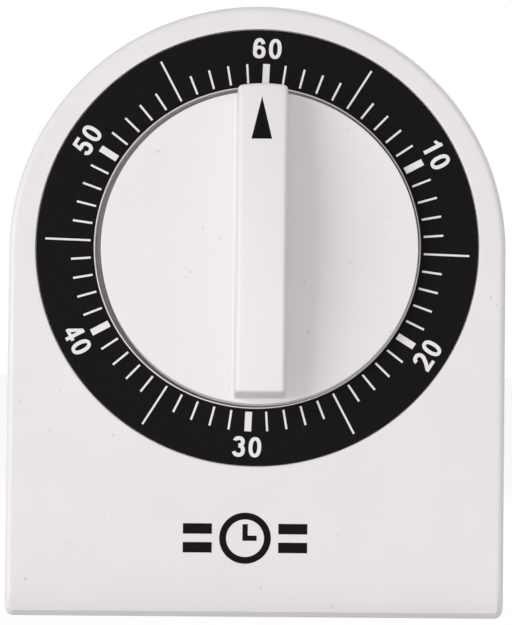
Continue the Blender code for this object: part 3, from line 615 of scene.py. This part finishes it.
def oval(centre, half_x, half_y, first, last, steps=28, square=2.3):
    """Points on part of a squarish oval, angles in degrees."""
    points = []
    for i in range(steps + 1):
        turn = math.radians(first + (last - first) * i / steps)
        c, s = math.cos(turn), math.sin(turn)
        points.append((centre[0] + half_x * math.copysign(abs(c) ** (2 / square), c),
                       centre[1] + half_y * math.copysign(abs(s) ** (2 / square), s)))
    return points


def band(path, half):
    """The outline of a stroke of even width along an open path."""
    left, right = [], []
    for i, point in enumerate(path):
        before, after = Vector(path[max(i - 1, 0)]), Vector(path[min(i + 1, len(path) - 1)])
        along = (after - before).normalized()
        side = Vector((-along.y, along.x)) * half
        left.append(tuple(Vector(point) + side))
        right.append(tuple(Vector(point) - side))
    return left + right[::-1]


def digit(character):
    """The outlines of one digit about its middle, each a list of loops."""
    side, top = DIGIT_SIDE, DIGIT_TOP
    if character == "0":
        return [[oval((0, 0), side, top, 0, 350, 35), oval((0, 0), 0.46, 1.3, 0, 350, 35, 2.1)]]
    if character == "1":
        return [[[(-0.25, -top), (0.5, -top), (0.5, top), (-0.1, top), (-0.42, 1.5), (-1.0, 1.25),
                  (-1.0, 0.68), (-0.25, 0.88)]]]
    if character == "2":
        stem = oval((0, 0.8), 0.8, 0.82, 172, -30, 20) + [(0.1, -0.55), (-0.8, -1.5)]
        return [[band(stem, STROKE)], [[(-side, -top), (side, -top), (side, -1.3), (-side, -1.3)]]]
    if character == "3":
        upper = oval((-0.06, 0.93), 0.76, 0.7, 165, -92, 22)
        lower = oval((-0.06, -0.72), 0.86, 0.9, 92, -168, 24)
        return [[band(upper, STROKE)], [band(lower, STROKE)]]
    if character == "4":
        slope = [(-1.22, -0.62), (0.1, top), (0.75, top), (-0.42, -0.5)]
        stem = [(0.12, -top), (0.82, -top), (0.82, top), (0.12, top)]
        cross = [(-1.22, -1.15), (1.25, -1.15), (1.25, -0.5), (-1.22, -0.5)]
        return [[slope], [stem], [cross]]
    if character == "5":
        flag = [(-0.75, 1.3), (1.0, 1.3), (1.0, top), (-0.75, top)]
        stem = [(-1.05, -0.1), (-0.42, 0.0), (-0.2, top), (-0.78, top)]
        bowl = oval((-0.03, -0.65), 0.84, 0.96, 138, -168, 26)
        return [[flag], [stem], [band(bowl, STROKE)]]
    tail = oval((0, 0), 0.83, 1.63, 190, 28, 26)
    bowl = [oval((0, -0.72), side, 1.23, 0, 350, 35), oval((0, -0.72), 0.46, 0.62, 0, 350, 35, 2.1)]
    return [[band(tail, STROKE * 0.85 + 0.05)], bowl]


def numerals():
    """60 to 50 in tens round the dial; those in the lower half read from the middle."""
    shapes = []
    for minute in range(0, 60, 10):
        flip = -1 if minute in (20, 30, 40) else 1
        for character, aside in zip(str(minute or 60), (-NUMERAL_PITCH, NUMERAL_PITCH)):
            for loops in digit(character):
                placed = []
                for loop in loops:
                    upright_loop = [((u + aside) * flip, v * flip + NUMERAL_RADIUS) for u, v in loop]
                    placed.append(turned_to(upright_loop, minute))
                proud = PRINT_PROUD + STROKE_STEP * (len(shapes) % 3)
                shapes.append(flat_shape(placed, -proud, 0.05))
    return make("dial_numerals", joined(shapes), WHITE_INK, HOUSING)


def badge():
    """A generic clock pictogram between bars, below the dial."""
    def at(points):
        return [(u + BADGE_AT[0], v + BADGE_AT[1]) for u, v in points]

    face = arc((0, 0), 4.9, 0, 357, 119)
    hollow = arc((0, 0), 3.6, 0, 357, 119)
    shapes = [flat_shape([at(face), at(hollow)], -PRINT_PROUD, 0.05)]
    hands = [(-0.5, -0.5), (2.2, -0.5), (2.2, 0.5), (0.5, 0.5), (0.5, 2.7), (-0.5, 2.7)]
    shapes.append(flat_shape([at(hands)], -PRINT_PROUD, 0.05))
    for side in (-1, 1):
        for row in (-1.8, 1.8):
            near, far = 6.3 * side, 11.8 * side
            bar = [(near, row - 1.0), (far, row - 1.0), (far, row + 1.0), (near, row + 1.0)]
            shapes.append(flat_shape([at(bar)], -PRINT_PROUD, 0.05))
    return make("front_pictogram", joined(shapes), BLACK, HOUSING)


# ---------------------------------------------------------------- knob

def bar_rise(v):
    return BAR_END_RISE + (BAR_MID_RISE - BAR_END_RISE) * (1 - (v / KNOB_RADIUS) ** 2)


def on_bar(x, v, height):
    return from_knob(x + BAR_ASIDE + BAR_SLANT * height, v, KNOB_FACE - height)


def bar_station(share):
    """One closed cross-section of the grip bar, share of the way up from its lower end."""
    length = KNOB_RADIUS - BAR_LOW
    along = share * length
    from_end = min(along, length - along)
    shrink = 0.0
    if from_end < BAR_TIP:
        shrink = BAR_TIP - math.sqrt(BAR_TIP ** 2 - (BAR_TIP - from_end) ** 2)
    crest = bar_rise(BAR_LOW + along) - shrink
    foot = BAR_BASE - shrink
    top = foot - BAR_DRAFT * crest
    left = arc((-(foot + BAR_FOOT), BAR_FOOT), BAR_FOOT, 270, 360, 4)
    left += [(-(foot - BAR_DRAFT * crest * k), crest * k) for k in (0.25, 0.5, 0.75)]
    left += arc((-(top - BAR_EDGE), crest - BAR_EDGE), BAR_EDGE, 180, 90, 6)
    flat = top - BAR_EDGE
    across = [(flat * k / 4, crest + BAR_CROWN * (1 - (k / 4) ** 2)) for k in range(-3, 4)]
    right = [(-x, h) for x, h in reversed(left)]
    below = [(foot + BAR_FOOT, -1.0), (-(foot + BAR_FOOT), -1.0)]
    loop = []
    for x, h in left + across + right + below:
        end = math.sqrt(KNOB_RADIUS ** 2 - min(abs(x), 6.0) ** 2)
        v = BAR_LOW + along * (end - BAR_LOW) / length
        loop.append(on_bar(x, v, h))
    return loop


def bar_shares():
    length = KNOB_RADIUS - BAR_LOW
    ends = [BAR_TIP * (1 - math.cos(math.radians(a))) / length for a in (0, 20, 40, 60, 75, 90)]
    middle = [ends[-1] + (1 - 2 * ends[-1]) * i / 40 for i in range(1, 40)]
    return ends + middle + [1 - s for s in reversed(ends)]


def winding_knob():
    inner = KNOB_RADIUS - KNOB_WALL
    profile = [(6.0, KNOB_FACE), (24.0, KNOB_FACE), (KNOB_RADIUS - KNOB_RIM - 0.3, KNOB_FACE)]
    profile += arc((KNOB_RADIUS - KNOB_RIM, KNOB_FACE + KNOB_RIM), KNOB_RIM, 270, 360, 8)
    profile += [(KNOB_RADIUS, 0.5), (KNOB_RADIUS, KNOB_SKIRT - 0.3)]
    profile += arc((KNOB_RADIUS - 0.25, KNOB_SKIRT - 0.25), 0.25, 0, 90, 3)
    profile += [(inner + 0.2, KNOB_SKIRT), (inner, KNOB_SKIRT - 0.2), (inner, -0.5), (6.0, -0.5)]
    disc = lathe(profile, 240, from_knob)
    bar = skin([bar_station(s) for s in bar_shares()])
    hub = lathe([(3.4, -1.0), (3.4, 3.2), (3.2, 3.4), (1.8, 3.4), (1.8, -1.0)], 48, from_knob)
    knob = make("winding_knob", joined([disc, bar, hub]), KNOB_WHITE, KNOB, 30)
    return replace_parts(knob, "knob")


def pointer_mark():
    """The black triangle on the bar's crest that is read against the dial."""
    tip, base, half, aside = 27.4, 19.0, 1.95, -0.2
    rows = 14
    loops = []
    for i in range(rows + 1):
        v = base + (tip - base) * i / rows
        width = max(half * (1 - i / rows), 0.02)
        flat = BAR_BASE - BAR_DRAFT * bar_rise(v) - BAR_EDGE
        xs = [aside + width * k / 3 for k in range(-3, 4)]
        over = [on_bar(x, v, bar_rise(v) + BAR_CROWN * (1 - (x / flat) ** 2) + 0.03) for x in xs]
        under = [on_bar(x, v, bar_rise(v) - 0.15) for x in reversed(xs)]
        loops.append(over + under)
    return make("pointer_mark", skin(loops), BLACK, KNOB)


# ---------------------------------------------------------------- movement

def finish_inner_nodes():
    """Give each CAD piece of the movement the metal that its record slot names."""
    finishes = {"steel": STEEL, "spring_steel": SPRING_STEEL, "brass": BRASS, "bell_nickel": NICKEL}
    for row in frame["record"]["subparts"]:
        finish = finishes.get(row["material_slot"])
        obj = frame["nodes"][row["node"]]
        if finish is None:
            continue
        obj.data.materials.clear()
        obj.data.materials.append(finish)


# ---------------------------------------------------------------- studio

def shade_at_foot(nodes, links):
    """The floor's glow, dimmed close round the rectangle the body stands on."""
    spot = nodes.new("ShaderNodeTexCoord").outputs["Object"]
    low, high = cad_box
    half = (WIDTH / 2 * MM, (high[1] - low[1]) / 2, 0)
    steps = (('ABSOLUTE', None), ('SUBTRACT', half), ('MAXIMUM', (0, 0, 0)), ('LENGTH', None))
    for operation, value in steps:
        step = nodes.new("ShaderNodeVectorMath")
        step.operation = operation
        links.new(spot, step.inputs[0])
        if value is not None:
            step.inputs[1].default_value = value
        spot = step.outputs["Value" if operation == 'LENGTH' else "Vector"]
    fade = nodes.new("ShaderNodeMapRange")
    fade.interpolation_type = 'SMOOTHSTEP'
    fade.inputs["From Max"].default_value = SHADE_REACH * MM
    fade.inputs["To Min"].default_value = FLOOR_GLOW * SHADE_LEAST
    fade.inputs["To Max"].default_value = FLOOR_GLOW
    links.new(spot, fade.inputs["Value"])
    return fade.outputs["Result"]


def studio():
    scene = bpy.context.scene
    scene.view_settings.view_transform = 'Standard'

    mat, nodes, links, shader = new_material("pale_floor")
    cover = noise(nodes, links, 3, 2)
    links.new(ramp(nodes, links, cover, grey(0.80), grey(0.82)), shader.inputs["Base Color"])
    shader.inputs["Roughness"].default_value = 0.9
    glow = nodes.new("ShaderNodeEmission")
    path = nodes.new("ShaderNodeLightPath")
    share = nodes.new("ShaderNodeMath")
    share.operation = 'MULTIPLY_ADD'
    share.inputs[1].default_value = GLOW_SEEN - GLOW_CAST
    share.inputs[2].default_value = GLOW_CAST
    links.new(path.outputs["Is Camera Ray"], share.inputs[0])
    mix = nodes.new("ShaderNodeMixShader")
    links.new(share.outputs["Value"], mix.inputs["Fac"])
    links.new(shader.outputs["BSDF"], mix.inputs[1])
    links.new(glow.outputs["Emission"], mix.inputs[2])
    links.new(mix.outputs["Shader"], nodes["Material Output"].inputs["Surface"])
    seen = nodes.new("ShaderNodeMath")
    seen.operation = 'MULTIPLY'
    seen.inputs[1].default_value = FLOOR_GLOW
    links.new(path.outputs["Is Camera Ray"], seen.inputs[0])
    strength = nodes.new("ShaderNodeMath")
    strength.operation = 'MAXIMUM'
    links.new(seen.outputs["Value"], strength.inputs[0])
    links.new(shade_at_foot(nodes, links), strength.inputs[1])
    links.new(strength.outputs["Value"], glow.inputs["Strength"])
    bm = bmesh.new()
    bmesh.ops.create_circle(bm, cap_ends=True, segments=128, radius=9.0)
    mesh = bpy.data.meshes.new("floor")
    bm.to_mesh(mesh)
    bm.free()
    mesh.materials.append(mat)
    floor = bpy.data.objects.new("floor", mesh)
    bpy.context.collection.objects.link(floor)

    world = bpy.data.worlds.new("studio")
    scene.world = world
    world.use_nodes = True
    nodes, links = world.node_tree.nodes, world.node_tree.links
    path = nodes.new("ShaderNodeLightPath")
    lit = nodes["Background"]
    lit.inputs["Strength"].default_value = WORLD_FILL
    for ray, strength in (("Is Glossy Ray", WORLD_GLOSS), ("Is Camera Ray", 1.0)):
        other = nodes.new("ShaderNodeBackground")
        other.inputs["Strength"].default_value = strength
        mix = nodes.new("ShaderNodeMixShader")
        links.new(path.outputs[ray], mix.inputs["Fac"])
        links.new(lit.outputs[0], mix.inputs[1])
        links.new(other.outputs["Background"], mix.inputs[2])
        lit = mix
    for node in nodes:
        if node.type == 'BACKGROUND':
            node.inputs["Color"].default_value = (1, 1, 1, 1)
    links.new(lit.outputs[0], nodes["World Output"].inputs["Surface"])

    lamp("key", (-44, 8), 2.0, (1.4, 1.3), KEY_POWER)
    lamp("front", (4, 6), 3.4, (1.0, 0.5), FRONT_POWER)
    lamp("back", (150, 35), 1.4, (1.2, 1.0), BACK_POWER)


def lamp(name, way, distance, size, power):
    """A soft box at an azimuth and elevation from the object, facing it."""
    azimuth, elevation = (math.radians(a) for a in way)
    out = Vector((math.sin(azimuth) * math.cos(elevation), -math.cos(azimuth) * math.cos(elevation),
                  math.sin(elevation)))
    data = bpy.data.lights.new(name, 'AREA')
    data.shape = 'RECTANGLE'
    data.size, data.size_y = size
    data.energy = power
    obj = bpy.data.objects.new(name, data)
    bpy.context.collection.objects.link(obj)
    obj.location = TARGET + out * distance
    obj.visible_camera = False
    obj.rotation_euler = (-out).to_track_quat('-Z', 'Y').to_euler()


def camera():
    data = bpy.data.cameras.new("camera")
    data.sensor_width = SENSOR
    data.lens = SENSOR * CAMERA_DISTANCE / (VIEW_HEIGHT * MM)
    data.clip_start, data.clip_end = 0.05, 50
    cam = bpy.data.objects.new("camera", data)
    bpy.context.collection.objects.link(cam)
    azimuth = math.radians(CAMERA_AZIMUTH)
    aim = Vector((CAMERA_ASIDE * MM, DIAL_AT.y, CAMERA_HEIGHT * MM))
    out = Vector((math.sin(azimuth), -math.cos(azimuth), 0))
    cam.location = aim + out * CAMERA_DISTANCE
    look = (-out).to_track_quat('-Z', 'Y').to_matrix().to_4x4()
    cam.rotation_euler = (look @ Matrix.Rotation(math.radians(CAMERA_ROLL), 4, 'Z')).to_euler()
    bpy.context.scene.camera = cam


camera()
studio()
housing_shell()
back_cover()
for number, (screw_x, screw_z) in enumerate(screw_places(), 1):
    cover_screw(number, screw_x, screw_z)
dial_ring()
ticks()
numerals()
badge()
winding_knob()
pointer_mark()
finish_inner_nodes()
